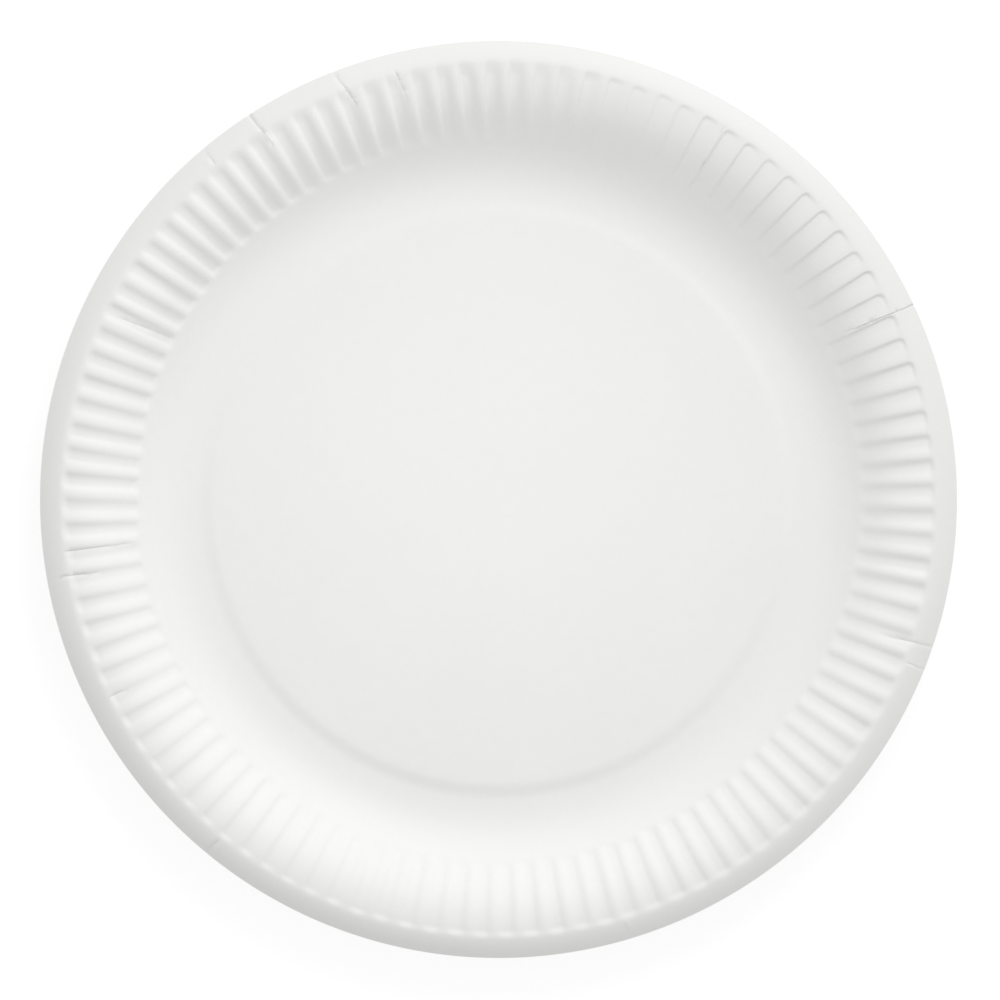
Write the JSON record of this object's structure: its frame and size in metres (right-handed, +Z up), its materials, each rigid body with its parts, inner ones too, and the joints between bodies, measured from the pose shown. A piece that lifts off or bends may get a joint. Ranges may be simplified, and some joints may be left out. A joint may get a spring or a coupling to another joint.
{
  "type": "paper plate",
  "caption": "Round white paper plate: one pressed sheet of board with a flat floor and a fluted, turned-down rim.",
  "frame": {"origin": "centre of the plate, on the surface that it stands on", "axes": "+Z up, along the plate's axis; the plate is round, so X and Y are level and only the flutes turn with them"},
  "size_m": [0.23, 0.23, 0.015],
  "materials": {
    "coated_board": "white board with a thin, slightly satin coating on the upper side"
  },
  "bodies": {
    "root": {"plate": "coated_board"}
  },
  "joints": []
}
